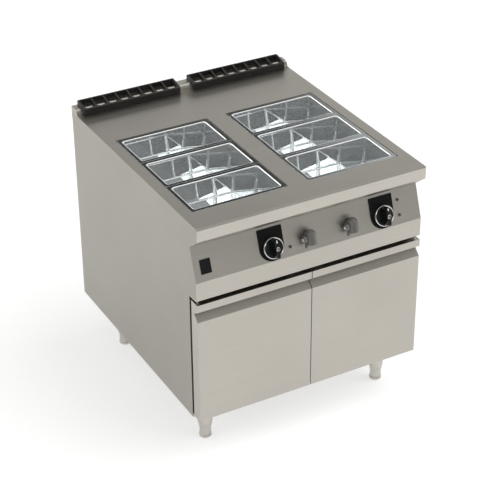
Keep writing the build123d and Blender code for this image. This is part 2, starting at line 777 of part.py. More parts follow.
# Fill taps: a domed barrel on a rosette, with a valve block behind the panel
for name, x in tap_x.items():
    barrel_foot = panel_spot(x, tap_rise - tap_barrel_length / 2, tap_barrel_lift).origin
    lever_spot = panel_spot(x, tap_rise - tap_lever_drop, tap_barrel_lift).origin
    lever_plane = Plane(lever_spot, x_dir=panel_up, z_dir=(-1, 0, 0))
    with BuildPart() as tap_body:
        with BuildSketch(Plane(barrel_foot, x_dir=(1, 0, 0), z_dir=panel_up)):
            Circle(tap_barrel_radius)
        extrude(amount=tap_barrel_length)
        along_barrel = tap_body.faces().sort_by(Axis(barrel_foot, panel_up))
        chamfer(along_barrel[-1].edges(), tap_dome_bevel)
        chamfer(along_barrel[0].edges(), tap_foot_bevel)
        with BuildSketch(panel_spot(x, tap_rise)):
            Circle(tap_rosette_radius)
        extrude(amount=tap_rosette_height)
        with BuildSketch(panel_spot(x, tap_rise, tap_barrel_lift)):
            Circle(tap_stem_radius)
        extrude(amount=-(tap_barrel_lift + tap_block_setback))
        with BuildSketch(panel_spot(x, tap_rise, -hob_sheet)):
            RegularPolygon(tap_nut_radius, 6)
        extrude(amount=-tap_nut_height)
        with Locations(valve_block[name]):
            Box(tap_block_size, tap_block_size, tap_block_size)
        with BuildSketch(lever_plane.offset(tap_barrel_radius)):
            Circle(tap_spindle_radius + running_gap)
        extrude(amount=-(tap_spindle_depth + fit_gap), mode=Mode.SUBTRACT)
    finish(tap_body, f"tap_body_{name}")

    # Lever: a domed boss on the barrel's left side with an arm that hangs down when the tap is shut
    with BuildPart() as tap_lever:
        with BuildSketch(lever_plane.offset(tap_barrel_radius + fit_gap)):
            Circle(tap_boss_radius)
        extrude(amount=tap_boss_height)
        chamfer(tap_lever.edges().sort_by(Axis.X)[0], tap_boss_bevel)
        with BuildSketch(lever_plane.offset(tap_barrel_radius + fit_gap)):
            SlotCenterPoint((-tap_arm_length / 2, 0), (0, 0), tap_arm_width)
        extrude(amount=tap_arm_thickness)
        with BuildSketch(lever_plane.offset(tap_barrel_radius + fit_gap)):
            Circle(tap_spindle_radius)
        extrude(amount=-tap_spindle_depth)
    finish(tap_lever, f"tap_lever_{name}")

# Supply pipe: from the inlet at the back, between the wells, to a tee and an elbow under each tap
supply_tee = Vector(supply_x, manifold_y, supply_z)
supply_inlet = Vector(supply_x, rear_panel_y - cabinet_sheet - inlet_nut_height, supply_z)
elbows = [Vector(x, manifold_y, supply_z) for x in tap_x.values()]
rises = [Vector(spot.X, spot.Y, spot.Z - tap_block_size / 2) for spot in valve_block.values()]
across = Vector(fitting_length / 2, 0, 0)
upright = Vector(0, 0, fitting_length / 2)
supply_walls = [
    (supply_tee - across, supply_tee + across, fitting_radius),
    (elbows[0] - upright, elbows[0] + upright, fitting_radius),
    (elbows[1] - upright, elbows[1] + upright, fitting_radius),
    (elbows[0], rises[0], branch_radius),
    (elbows[1], rises[1], branch_radius),
    (elbows[0], elbows[1], branch_radius),
    (supply_inlet, supply_tee, supply_pipe_radius),
]
supply_bores = [
    (supply_inlet, supply_tee, supply_pipe_bore),
    (elbows[0], elbows[1], branch_bore),
    (elbows[0], rises[0], riser_bore),
    (elbows[1], rises[1], riser_bore),
]
with BuildPart() as water_supply_pipe:
    for start, end, radius in supply_walls:
        with BuildSketch(Plane(start, z_dir=end - start)):
            Circle(radius)
        extrude(amount=(end - start).length)
    for start, end, radius in supply_bores:
        with BuildSketch(Plane(start, z_dir=end - start)):
            Circle(radius)
        extrude(amount=(end - start).length, mode=Mode.SUBTRACT)
finish(water_supply_pipe, "water_supply_pipe")

# Water inlet: a threaded bulkhead fitting, nutted on both faces of the rear panel
with BuildPart() as water_inlet:
    with BuildSketch(Plane.XZ.offset(-supply_inlet.Y)):
        with Locations((supply_x, supply_z)):
            RegularPolygon(inlet_nut_radius, 6)
    extrude(amount=-inlet_nut_height)
    with BuildSketch(Plane.XZ.offset(-rear_panel_y)):
        with Locations((supply_x, supply_z)):
            RegularPolygon(inlet_nut_radius, 6)
    extrude(amount=-inlet_locknut_height)
    with BuildSketch(Plane.XZ.offset(-supply_inlet.Y)):
        with Locations((supply_x, supply_z)):
            Circle(inlet_radius)
    extrude(amount=-(inlet_nut_height + cabinet_sheet + inlet_locknut_height + inlet_length))
    with BuildSketch(Plane.XZ.offset(-supply_inlet.Y)):
        with Locations((supply_x, supply_z)):
            Circle(supply_pipe_bore)
    extrude(
        amount=-(inlet_nut_height + cabinet_sheet + inlet_locknut_height + inlet_length), mode=Mode.SUBTRACT
    )
finish(water_inlet, "water_inlet")

# Fill pipes: from the valve blocks into the wells, the left one round a mitred elbow
fill_starts = {name: spot + Vector(0, tap_block_size / 2, 0) for name, spot in valve_block.items()}
for name, start in fill_starts.items():
    end = fill_port[name].origin
    with BuildPart() as fill_pipe:
        with BuildLine() as fill_path:
            if name == "left":
                Polyline(start, (start.X, end.Y, start.Z), end)
            else:
                Line(start, end)
        with BuildSketch(Plane(start, z_dir=(0, 1, 0))):
            Circle(fill_pipe_radius)
            Circle(fill_pipe_bore, mode=Mode.SUBTRACT)
        sweep(path=fill_path.wires()[0], transition=Transition.RIGHT)
    finish(fill_pipe, f"fill_pipe_{name}")

# Heating elements: flattened sheaths in a serpentine, close under the well floors
element_z = well_under - element_height / 2 - fit_gap
element_half = tank_width / 2 - element_end_gap
for name, side in sides:
    first_x = side * well_x - (element_runs - 1) * element_pitch / 2
    run_x = [first_x + index * element_pitch for index in range(element_runs)]
    with BuildPart() as heating_element:
        with BuildLine() as element_path:
            for index, x in enumerate(run_x):
                direction = 1 if index % 2 else -1
                run_end = (x, well_y + direction * element_half, element_z)
                Line((x, well_y - direction * element_half, element_z), run_end)
                if index + 1 < element_runs:
                    turn = (x + element_pitch / 2, run_end[1] + direction * element_pitch / 2, element_z)
                    ThreePointArc(run_end, turn, (run_x[index + 1], run_end[1], element_z))
        element_start = (first_x, well_y + element_half, element_z)
        with BuildSketch(Plane(element_start, x_dir=(1, 0, 0), z_dir=(0, -1, 0))):
            Rectangle(element_width, element_height)
        sweep(path=element_path.wires()[0])
    finish(heating_element, f"heating_element_{name}")

# Drains: a strainer flange in the well, a pipe, a quarter-turn valve in the cupboard and a tail
valve_z = ceiling_top - valve_drop
drain_end = leg_height - drain_tail
valve_barrel = valve_height / 2 - valve_radius + drain_pipe_radius
for name, side in sides:
    with BuildPart() as drain:
        with BuildSketch(Plane.XZ.offset(-drain_y)):
            with BuildLine():
                Polyline(
                    (side * well_x, drain_end),
                    (side * well_x + drain_tail_radius, drain_end),
                    (side * well_x + drain_tail_radius, leg_height),
                    (side * well_x + drain_pipe_radius, leg_height),
                    (side * well_x + drain_pipe_radius, valve_z - valve_height / 2),
                    (side * well_x + valve_radius, valve_z - valve_barrel),
                    (side * well_x + valve_radius, valve_z + valve_barrel),
                    (side * well_x + drain_pipe_radius, valve_z + valve_height / 2),
                    (side * well_x + drain_pipe_radius, well_floor),
                    (side * well_x + drain_flange_radius, well_floor),
                    (side * well_x + drain_flange_radius, well_floor + drain_flange_height),
                    (side * well_x, well_floor + drain_flange_height),
                    close=True,
                )
            make_face()
        revolve(axis=Axis((side * well_x, drain_y, 0), (0, 0, 1)))
        with BuildSketch(Plane.XZ.offset(-drain_y)):
            with Locations((side * well_x, valve_z)):
                Circle(valve_cheek_radius)
        extrude(amount=valve_cheek_length)
        with BuildSketch(Plane.XY.offset(drain_end)):
            with Locations((side * well_x, drain_y)):
                Circle(drain_pipe_bore)
        extrude(amount=valve_z - valve_cheek_radius - drain_end, mode=Mode.SUBTRACT)
        with BuildSketch(Plane.XY.offset(well_floor + drain_flange_height)):
            with Locations((side * well_x, drain_y)):
                Circle(drain_pipe_bore)
        extrude(amount=valve_z + valve_cheek_radius - well_floor - drain_flange_height, mode=Mode.SUBTRACT)
        with BuildSketch(Plane.XZ.offset(valve_cheek_length - drain_y)):
            with Locations((side * well_x, valve_z)):
                Circle(drain_spindle_radius + running_gap)
        extrude(amount=-(drain_spindle_depth + fit_gap), mode=Mode.SUBTRACT)
    finish(drain, f"drain_{name}")

    # Valve lever: lies across the pipe when shut and turns down to open
    lever_middle = (side * well_x, drain_y - valve_cheek_length - fit_gap, valve_z)
    lever_face = Plane(lever_middle, x_dir=(1, 0, 0), z_dir=(0, -1, 0))
    with BuildPart() as drain_lever:
        with BuildSketch(lever_face):
            Circle(drain_hub_radius)
        extrude(amount=drain_hub_length)
        with BuildSketch(lever_face.offset(drain_hub_length - drain_lever_thickness)):
            SlotCenterPoint((side * drain_lever_length / 2, 0), (0, 0), drain_lever_width)
        extrude(amount=drain_lever_thickness)
        with BuildSketch(lever_face):
            Circle(drain_spindle_radius)
        extrude(amount=-drain_spindle_depth)
    finish(drain_lever, f"drain_lever_{name}")

# Doors: folded skins with a finger recess along the top, ends closed, and a flat liner inside
door_path = [
    (door_rear, door_top - flange_width),
    (door_rear, door_top),
    (door_front, door_top),
    (door_front, door_top - door_lip_height),
    (door_front + recess_depth, door_top - door_lip_height - recess_upper_height),
    (door_front, door_top - door_lip_height - recess_upper_height - recess_lower_height),
    (door_front, door_bottom),
    (door_rear, door_bottom),
    (door_rear, door_bottom + flange_width),
]
hinge_x = half_width - door_side_gap - hinge_edge
for name, side in sides:
    door_outer = side * (half_width - door_side_gap)
    door_inner = side * door_meeting_gap / 2
    with BuildPart() as door:
        with BuildSketch(Plane.YZ.offset(door_inner)):
            with BuildLine():
                Polyline(*folded_sheet(door_path, cabinet_sheet), close=True)
            make_face()
        extrude(amount=door_outer - door_inner)
        for end, inward in ((door_inner, side), (door_outer, -side)):
            with BuildSketch(Plane.YZ.offset(end)):
                with BuildLine():
                    Polyline(*door_path, close=True)
                make_face()
            extrude(amount=inward * cabinet_sheet)
        for height, inward in ((door_bottom, 1), (door_top, -1)):
            with BuildSketch(Plane.XY.offset(height)):
                with Locations((side * hinge_x, hinge_y)):
                    Circle(hinge_pin_radius + running_gap)
            extrude(amount=inward * hinge_pin_length, mode=Mode.SUBTRACT)
    finish(door, f"door_{name}")

    with BuildPart() as door_liner:
        with BuildSketch(Plane.XZ.offset(2 * cabinet_sheet - door_rear)):
            with Locations(((door_outer + door_inner) / 2, (door_top + door_bottom) / 2)):
                Rectangle(
                    abs(door_outer - door_inner) - 2 * (cabinet_sheet + fit_gap),
                    door_top - door_bottom - 2 * (cabinet_sheet + fit_gap),
                )
        extrude(amount=-cabinet_sheet)
    finish(door_liner, f"door_liner_{name}")

# Hinge brackets: plates with a fixed pin, under the rail above and on the base below
with BuildPart() as hinge_brackets:
    for name, side in sides:
        plate_front = hinge_y - hinge_plate_nose
        with BuildSketch(Plane.XY.offset(rail_bottom)):
            with Locations((side * hinge_x, plate_front)):
                Rectangle(2 * hinge_edge, cabinet_front - plate_front, align=(Align.CENTER, Align.MIN))
        extrude(amount=-hinge_plate_height)
        with BuildSketch(Plane.XY.offset(rail_bottom)):
            with Locations((side * hinge_x, hinge_y)):
                Circle(hinge_pin_radius)
        extrude(amount=-(door_top_gap + hinge_pin_length))
        with BuildSketch(Plane.XY.offset(leg_height)):
            with Locations((side * hinge_x, cabinet_front)):
                Rectangle(2 * hinge_edge, hinge_plate_height, align=(Align.CENTER, Align.MAX))
        extrude(amount=door_bottom_rise - fit_gap)
        with BuildSketch(Plane.XY.offset(door_bottom - fit_gap)):
            with Locations((side * hinge_x, plate_front)):
                Rectangle(2 * hinge_edge, cabinet_front - plate_front, align=(Align.CENTER, Align.MIN))
        extrude(amount=-hinge_plate_height)
        with BuildSketch(Plane.XY.offset(door_bottom - fit_gap)):
            with Locations((side * hinge_x, hinge_y)):
                Circle(hinge_pin_radius)
        extrude(amount=fit_gap + hinge_pin_length)
finish(hinge_brackets, "hinge_brackets")

# Door catches: magnet blocks under the rail, behind the doors' meeting edges
with BuildPart() as door_catches:
    with BuildSketch(Plane.XY.offset(rail_bottom)):
        for name, side in sides:
            with Locations((side * (catch_inset + catch_width / 2), door_rear + fit_gap)):
                Rectangle(catch_width, catch_thickness, align=(Align.CENTER, Align.MIN))
    extrude(amount=-(door_top_gap + catch_overlap))
finish(door_catches, "door_catches")

# Leg sleeves: thick tubes that narrow to a cone at the lower end
with BuildPart() as leg_sleeves:
    for x, y in leg_spots.values():
        with BuildSketch(Plane.XZ.offset(-y)):
            with BuildLine():
                Polyline(
                    (x + foot_radius + fit_gap, leg_end_rise),
                    (x + leg_end_radius, leg_end_rise),
                    (x + leg_radius, leg_end_rise + leg_cone_height),
                    (x + leg_radius, base_top - cabinet_sheet),
                    (x + foot_radius + fit_gap, base_top - cabinet_sheet),
                    close=True,
                )
            make_face()
        revolve(axis=Axis((x, y, 0), (0, 0, 1)))
finish(leg_sleeves, "leg_sleeves")

# Screw feet: bevelled pads on stems that run in the sleeves
for name, (x, y) in leg_spots.items():
    with BuildPart() as foot:
        with BuildSketch(Plane.XY):
            with Locations((x, y)):
                Circle(foot_pad_radius)
        extrude(amount=foot_pad_height)
        chamfer(foot.faces().sort_by(Axis.Z)[0].edges(), foot_bevel)
        chamfer(foot.faces().sort_by(Axis.Z)[-1].edges(), foot_edge)
        with BuildSketch(Plane.XY.offset(foot_pad_height)):
            with Locations((x, y)):
                Circle(foot_radius)
        extrude(amount=foot_stem_length)
    finish(foot, f"foot_{name}")

# Terminal box: closed, on the inside of the rear panel
with BuildPart() as terminal_box:
    with BuildSketch(Plane.XZ.offset(cabinet_sheet - rear_panel_y)):
        with Locations((terminal_x, terminal_z)):
            RectangleRounded(terminal_length, terminal_height, terminal_corner)
    extrude(amount=terminal_depth)
finish(terminal_box, "terminal_box")

# Cable gland: a threaded bush through the rear panel with a hexagon outside it
with BuildPart() as cable_gland:
    with BuildSketch(Plane.XZ.offset(cabinet_sheet - rear_panel_y)):
        with Locations((terminal_x, terminal_z)):
            Circle(gland_radius)
    extrude(amount=-(cabinet_sheet + gland_length))
    with BuildSketch(Plane.XZ.offset(-rear_panel_y)):
        with Locations((terminal_x, terminal_z)):
            RegularPolygon(gland_nut_radius, 6)
    extrude(amount=-gland_nut_height)
    with BuildSketch(Plane.XZ.offset(cabinet_sheet - rear_panel_y)):
        with Locations((terminal_x, terminal_z)):
            Circle(gland_bore)
    extrude(amount=-(cabinet_sheet + gland_length), mode=Mode.SUBTRACT)
finish(cable_gland, "cable_gland")
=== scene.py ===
import json
import math

import bmesh
import bpy
from mathutils import Matrix, Vector


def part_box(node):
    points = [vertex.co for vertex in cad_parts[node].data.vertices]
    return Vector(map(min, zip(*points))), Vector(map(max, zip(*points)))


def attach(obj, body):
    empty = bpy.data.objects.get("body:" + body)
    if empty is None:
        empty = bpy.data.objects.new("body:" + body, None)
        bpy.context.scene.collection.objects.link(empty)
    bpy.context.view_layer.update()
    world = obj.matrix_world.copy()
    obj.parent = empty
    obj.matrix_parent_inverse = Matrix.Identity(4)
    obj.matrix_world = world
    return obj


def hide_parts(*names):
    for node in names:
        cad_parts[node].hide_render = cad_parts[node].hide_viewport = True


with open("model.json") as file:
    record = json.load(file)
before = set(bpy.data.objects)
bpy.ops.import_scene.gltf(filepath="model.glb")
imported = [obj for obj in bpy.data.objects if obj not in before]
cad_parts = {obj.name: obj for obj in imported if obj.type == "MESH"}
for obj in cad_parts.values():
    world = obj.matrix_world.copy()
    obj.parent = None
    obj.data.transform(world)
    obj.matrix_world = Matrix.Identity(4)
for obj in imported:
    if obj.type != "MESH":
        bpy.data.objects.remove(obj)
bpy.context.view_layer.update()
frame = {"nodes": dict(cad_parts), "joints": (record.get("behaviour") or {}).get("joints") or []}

# Cabinet sheet work: sides, base, back, ceiling, lower rail, control panel, hob top and rear ledge.
# Chrome-nickel stainless sheet of 1.2 to 2 mm, folded and welded, then ground with a satin belt that
# leaves fine lines along each sheet.
MM = 0.001
satin_light = "#bdb9b1"
satin_dark = "#b7b3ab"
satin_roughness = (0.36, 0.385)
line_width = 3 * MM  # real belt lines are 0.1 mm; drawn this coarse so that they show
line_length = 400 * MM
line_depth = 0.01 * MM
line_relief = 0.08
line_detail = 2
line_range = (0.25, 0.75)
smudge_size = 260 * MM
smudge_detail = 3
smudge_range = (0.12, 0.4)
fold_radius = 1.0 * MM
bevel_samples = 4
painted_light_facing = (-0.8, -0.95)  # Y of a face's normal where the nose's painted light starts and where it is full
across, front_to_back, upright = range(3)  # the axis that belt lines run along
mix_share, mix_first, mix_second = 0, 6, 7  # inputs of a Mix node between colours, which share names
mixed = 2  # its output


def linear(colour):
    """Turn an sRGB hex colour into Blender's linear RGBA."""
    channels = [int(colour[start:start + 2], 16) / 255 for start in (1, 3, 5)]
    opened = [level / 12.92 if level <= 0.04045 else ((level + 0.055) / 1.055) ** 2.4 for level in channels]
    return opened + [1.0]


def add_node(tree, kind, inputs=None, **settings):
    """Add a node with its settings, and fill its inputs with values or with other nodes' outputs."""
    node = tree.nodes.new(kind)
    for name, value in settings.items():
        setattr(node, name, value)
    for name, value in (inputs or {}).items():
        if isinstance(value, bpy.types.NodeSocket):
            tree.links.new(value, node.inputs[name])
        else:
            node.inputs[name].default_value = value
    return node


def empty_material(name):
    """Start a material with an empty node tree."""
    material = bpy.data.materials.new(name)
    material.use_nodes = True
    material.node_tree.nodes.clear()
    return material, material.node_tree


def satin_steel(name, axis, light=satin_light, dark=satin_dark, roughness=satin_roughness, painted_light_on_fronts=None):
    """Belt-ground stainless with lines along one axis; may paint light on front faces in paler colours."""
    material, tree = empty_material(name)
    place = add_node(tree, "ShaderNodeTexCoord").outputs["Object"]
    frequency = [1 / line_width] * 3
    frequency[axis] = 1 / line_length
    stretched = add_node(tree, "ShaderNodeMapping", {"Vector": place, "Scale": frequency})
    lines = add_node(tree, "ShaderNodeTexNoise", {
        "Vector": stretched.outputs[0], "Scale": 1, "Detail": line_detail})
    smudges = add_node(tree, "ShaderNodeTexNoise", {
        "Vector": place, "Scale": 1 / smudge_size, "Detail": smudge_detail})
    tone = add_node(tree, "ShaderNodeMath", {
        0: lines.outputs[0], 1: smudges.outputs[0]}, operation="MULTIPLY")
    shade = add_node(tree, "ShaderNodeMapRange", {
        "Value": tone.outputs[0], "From Min": smudge_range[0], "From Max": smudge_range[1]})
    colour = add_node(tree, "ShaderNodeMix", {
        mix_share: shade.outputs[0], mix_first: linear(dark), mix_second: linear(light)}, data_type="RGBA")
    # Painted light: faces whose normal looks to the front are mixed towards the paler colours.
    if painted_light_on_fronts:
        normal = add_node(tree, "ShaderNodeNewGeometry").outputs["Normal"]
        facing = add_node(tree, "ShaderNodeSeparateXYZ", {"Vector": normal})
        front = add_node(tree, "ShaderNodeMapRange", {
            "Value": facing.outputs["Y"], "From Min": painted_light_facing[0], "From Max": painted_light_facing[1]})
        painted_front_light, painted_front_dark = painted_light_on_fronts
        painted_paler_colour = add_node(tree, "ShaderNodeMix", {
            mix_share: shade.outputs[0], mix_first: linear(painted_front_dark), mix_second: linear(painted_front_light)},
            data_type="RGBA")
        colour = add_node(tree, "ShaderNodeMix", {
            mix_share: front.outputs[0], mix_first: colour.outputs[mixed], mix_second: painted_paler_colour.outputs[mixed]},
            data_type="RGBA")
    rough = add_node(tree, "ShaderNodeMapRange", {
        "Value": lines.outputs[0], "From Min": line_range[0], "From Max": line_range[1],
        "To Min": roughness[0], "To Max": roughness[1]})
    folds = add_node(tree, "ShaderNodeBevel", {"Radius": fold_radius}, samples=bevel_samples)
    relief = add_node(tree, "ShaderNodeBump", {
        "Height": lines.outputs[0], "Strength": line_relief, "Distance": line_depth,
        "Normal": folds.outputs[0]})
    shader = add_node(tree, "ShaderNodeBsdfPrincipled", {
        "Base Color": colour.outputs[mixed], "Metallic": 1.0, "Roughness": rough.outputs[0],
        "Normal": relief.outputs[0]})
    add_node(tree, "ShaderNodeOutputMaterial", {"Surface": shader.outputs[0]})
    return material


def dress(material, *nodes):
    """Give CAD pieces their finish."""
    for node in nodes:
        slots = frame["nodes"][node].data.materials
        slots.clear()
        slots.append(material)


# Satin-ground stainless: a broad soft sheen, with faint level lines and smudges in it.
satin_across = satin_steel("satin_stainless_lines_across", across)
dress(satin_across, "lower_rail", "base_panel", "cupboard_ceiling", "rear_panel")
# The same on the sides, with lines from front to back: darker as painted shade, and duller, with no
# clear reflection.
satin_along_painted_shade = satin_steel("satin_stainless_lines_along_painted_shade", front_to_back, light="#aaa79f", dark="#a4a199",
                          roughness=(0.43, 0.46))
dress(satin_along_painted_shade, "side_panel_left", "side_panel_right")
# The same on the deck and its ledge: an even grey darkened as painted shade, the nose paler as painted light.
satin_deck_painted_shade_and_light = satin_steel("satin_stainless_deck_painted_shade_and_light", across, light="#b1ada5", dark="#aba79f",
                         painted_light_on_fronts=("#c4c0b8", "#bebab2"))
dress(satin_deck_painted_shade_and_light, "hob_top", "vent_ledge")
# The same on the sloped panel, a little rougher: knobs and taps show in it only as soft shades.
satin_panel = satin_steel("satin_stainless_panel", across, roughness=(0.41, 0.44))
dress(satin_panel, "control_panel")

# Water wells: pressed stainless tanks welded under the deck, each with two bars across it that carry
# the pans' inner flanges. The same satin sheet, hardly seen once the pans are in.
dress(satin_across, "well_left", "well_right", "cross_bars")

# Pans: one-third gastronorm, deep-drawn from 1 mm stainless and polished, with a flat flange, a rolled
# mouth and a turned-down edge. They drop into the wells and are lifted out by hand.
pan_sheet = 1 * MM
pan_edge_height = 5 * MM
pan_edge_bend = 0.6 * MM
pan_edge_corner = 7 * MM
pan_flange = 14.5 * MM
pan_mouth_bend = 4 * MM
pan_wall_corner = 8 * MM
pan_floor_bend = 4 * MM
pan_draft = 1.2  # degrees, long walls
pan_end_draft = 5  # degrees, end walls
draw_mark_size = 35 * MM
mark_detail = 4
mark_range = (0.3, 0.7)
corner_steps = 8
bend_steps = 6
sharp_fold = 35  # degrees
bowl_slot = 1  # the rim's finish is slot 0, and a face's underside gets the slot after its own
flat_face_weight = 100


def polished_steel(name, light, dark, roughness, mark_size, metal=1.0):
    """Polished metal with faint cloudy marks in its colour and gloss."""
    material, tree = empty_material(name)
    place = add_node(tree, "ShaderNodeTexCoord").outputs["Object"]
    marks = add_node(tree, "ShaderNodeTexNoise", {
        "Vector": place, "Scale": 1 / mark_size, "Detail": mark_detail})
    colour = add_node(tree, "ShaderNodeMix", {
        mix_share: marks.outputs[0], mix_first: linear(dark), mix_second: linear(light)}, data_type="RGBA")
    rough = add_node(tree, "ShaderNodeMapRange", {
        "Value": marks.outputs[0], "From Min": mark_range[0], "From Max": mark_range[1],
        "To Min": roughness[0], "To Max": roughness[1]})
    shader = add_node(tree, "ShaderNodeBsdfPrincipled", {
        "Base Color": colour.outputs[mixed], "Metallic": metal, "Roughness": rough.outputs[0]})
    add_node(tree, "ShaderNodeOutputMaterial", {"Surface": shader.outputs[0]})
    return material


def bend(inset, height, radius, first, last):
    """Points of a bend in a profile, about a centre and between two angles in degrees."""
    angles = [math.radians(first + (last - first) * step / bend_steps) for step in range(bend_steps + 1)]
    return [(inset + radius * math.cos(angle), height + radius * math.sin(angle)) for angle in angles]


def rounded_ring(half_length, half_width, corner, height):
    """Points of a rounded rectangle about the origin, going round to the left."""
    points = []
    for quarter, (side, end) in enumerate(((1, 1), (-1, 1), (-1, -1), (1, -1))):
        for step in range(corner_steps + 1):
            angle = math.pi / 2 * (quarter + step / corner_steps)
            points.append((
                side * (half_length - corner) + corner * math.cos(angle),
                end * (half_width - corner) + corner * math.sin(angle),
                height,
            ))
    return points


def lofted(mesh, rings, place, first_cap=True, closed=False):
    """Add a skin through rings of points to lists of points and faces, capped or closed on itself."""
    points, faces = mesh
    start = len(points)
    count = len(rings[0])
    points.extend(place @ Vector(point) for ring in rings for point in ring)
    for ring in range(len(rings) - 1):
        for index in range(count):
            here = start + ring * count + index
            after = start + ring * count + (index + 1) % count
            faces.append((here, after, after + count, here + count))
    end = len(points) - count
    if closed:
        for index in range(count):
            after = (index + 1) % count
            faces.append((end + index, end + after, start + after, start + index))
        return
    if first_cap:
        faces.append(tuple(range(start + count - 1, start - 1, -1)))
    faces.append(tuple(range(end, len(points))))


def make_piece(name, mesh, material, body, slot, *stands_for):
    """Turn points and faces into a smooth piece that rides on a body and may stand for CAD nodes."""
    points, faces = mesh
    data = bpy.data.meshes.new(name)
    data.from_pydata(points, [], faces)
    data.shade_smooth()
    data.set_sharp_from_angle(angle=math.radians(sharp_fold))
    data.materials.append(material)
    piece = bpy.data.objects.new(name, data)
    bpy.context.scene.collection.objects.link(piece)
    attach(piece, body)
    if stands_for:
        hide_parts(*stands_for)
    return piece


# Polished stainless on the flange and the turned edge: near a mirror, with bright lines round each mouth.
rim_steel = polished_steel("polished_stainless_rim", light="#d2d6d6", dark="#c6caca", roughness=(0.04, 0.06),
                           mark_size=draw_mark_size)
# Drawn stainless polished inside: a cool clear mirror, in which the walls repeat each other's lights.
# Painted light: its near-white colour is paler than the rim's, for the light lost inside the deep pan.
bowl_steel_painted_light = polished_steel("drawn_stainless_bowl_painted_light", light="#eff1f1", dark="#e4e7e7", roughness=(0.01, 0.02),
                            mark_size=draw_mark_size, metal=0.87)
# Drawn stainless as it leaves the press: a dull grey gleam on the outside.
shell_steel = polished_steel("drawn_stainless_outside", light="#b4b7b7", dark="#a8abab",
                             roughness=(0.28, 0.36), mark_size=draw_mark_size)
draft = math.radians(pan_draft)
end_lean = math.tan(math.radians(pan_end_draft)) - math.tan(draft)
mouth_run = pan_mouth_bend * (1 - math.sin(draft)) / math.cos(draft)
mouth_inset = pan_flange + mouth_run * math.sin(draft) - pan_mouth_bend * math.cos(draft)
edge = [(0, -pan_edge_height)] + bend(pan_edge_bend, -pan_edge_bend, pan_edge_bend, 180, 90)
mouth = bend(mouth_inset, -pan_mouth_bend, pan_mouth_bend, 90, pan_draft)
for side in ("left", "right"):
    for row in ("rear", "middle", "front"):
        node = f"pan_{side}_{row}"
        low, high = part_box(node)
        half = (high - low) / 2
        inside_depth = high.z - low.z - pan_sheet
        floor_run = (inside_depth - pan_floor_bend * (1 - math.sin(draft))) / math.cos(draft)
        floor_inset = pan_flange + floor_run * math.sin(draft) + pan_floor_bend * math.cos(draft)
        wall = mouth + bend(floor_inset, pan_floor_bend - inside_depth, pan_floor_bend, 180 + pan_draft, 270)
        rings = [rounded_ring(half.x - inset, half.y - inset, pan_edge_corner - inset, height)
                 for inset, height in edge]
        rings += [rounded_ring(half.x - inset + height * end_lean, half.y - inset, pan_wall_corner, height)
                  for inset, height in wall]
        mesh = ([], [])
        lofted(mesh, rings, Matrix.Translation((low.x + half.x, low.y + half.y, high.z)), first_cap=False)
        pan = make_piece(f"drawn_{node}", mesh, rim_steel, f"{side}_{row}_pan", "pan_steel", node)
        pan.data.materials.append(bowl_steel_painted_light)
        pan.data.materials.append(shell_steel)
        for face in pan.data.polygons[len(edge) * len(rings[0]):]:
            face.material_index = bowl_slot
        gauge = pan.modifiers.new("sheet_gauge", "SOLIDIFY")
        gauge.thickness = pan_sheet
        gauge.offset = -1  # the skin is the upper face, and the metal lies under it
        gauge.material_offset = 1
        flats = pan.modifiers.new("flat_walls_and_flange", "WEIGHTED_NORMAL")
        flats.weight = flat_face_weight
        flats.keep_sharp = True

# Vent grilles: two loose castings in grey iron, coated with matt black enamel, that lie over the rear
# ledge. The sand mould leaves a fine even roughness and blunt edges, and the tops fall to the front.
sand_grain = 1.6 * MM  # real moulding sand is 0.3 mm; drawn this coarse so that it shows
sand_depth = 0.15 * MM
cast_edge = 1.2 * MM
grain_relief = 0.5
grain_detail = 2
cloud_grains = 30  # width of a cloud, in grains
cloud_detail = 3
cloud_range = (0.3, 0.7)
grille_front_drop = 12 * MM
grille_flat = 5 * MM
weld_gap = 0.001 * MM


def coated(name, fresh, worn, roughness, grain, grain_depth, edge, specular=0.5):
    """Coating or moulded plastic with a grainy face, soft edges and cloudy gloss."""
    material, tree = empty_material(name)
    place = add_node(tree, "ShaderNodeTexCoord").outputs["Object"]
    grains = add_node(tree, "ShaderNodeTexNoise", {
        "Vector": place, "Scale": 1 / grain, "Detail": grain_detail})
    clouds = add_node(tree, "ShaderNodeTexNoise", {
        "Vector": place, "Scale": 1 / (cloud_grains * grain), "Detail": cloud_detail})
    colour = add_node(tree, "ShaderNodeMix", {
        mix_share: clouds.outputs[0], mix_first: linear(fresh), mix_second: linear(worn)}, data_type="RGBA")
    rough = add_node(tree, "ShaderNodeMapRange", {
        "Value": clouds.outputs[0], "From Min": cloud_range[0], "From Max": cloud_range[1],
        "To Min": roughness[0], "To Max": roughness[1]})
    blunt = add_node(tree, "ShaderNodeBevel", {"Radius": edge}, samples=bevel_samples)
    relief = add_node(tree, "ShaderNodeBump", {
        "Height": grains.outputs[0], "Strength": grain_relief, "Distance": grain_depth,
        "Normal": blunt.outputs[0]})
    shader = add_node(tree, "ShaderNodeBsdfPrincipled", {
        "Base Color": colour.outputs[mixed], "Roughness": rough.outputs[0], "Specular IOR Level": specular,
        "Normal": relief.outputs[0]})
    add_node(tree, "ShaderNodeOutputMaterial", {"Surface": shader.outputs[0]})
    return material


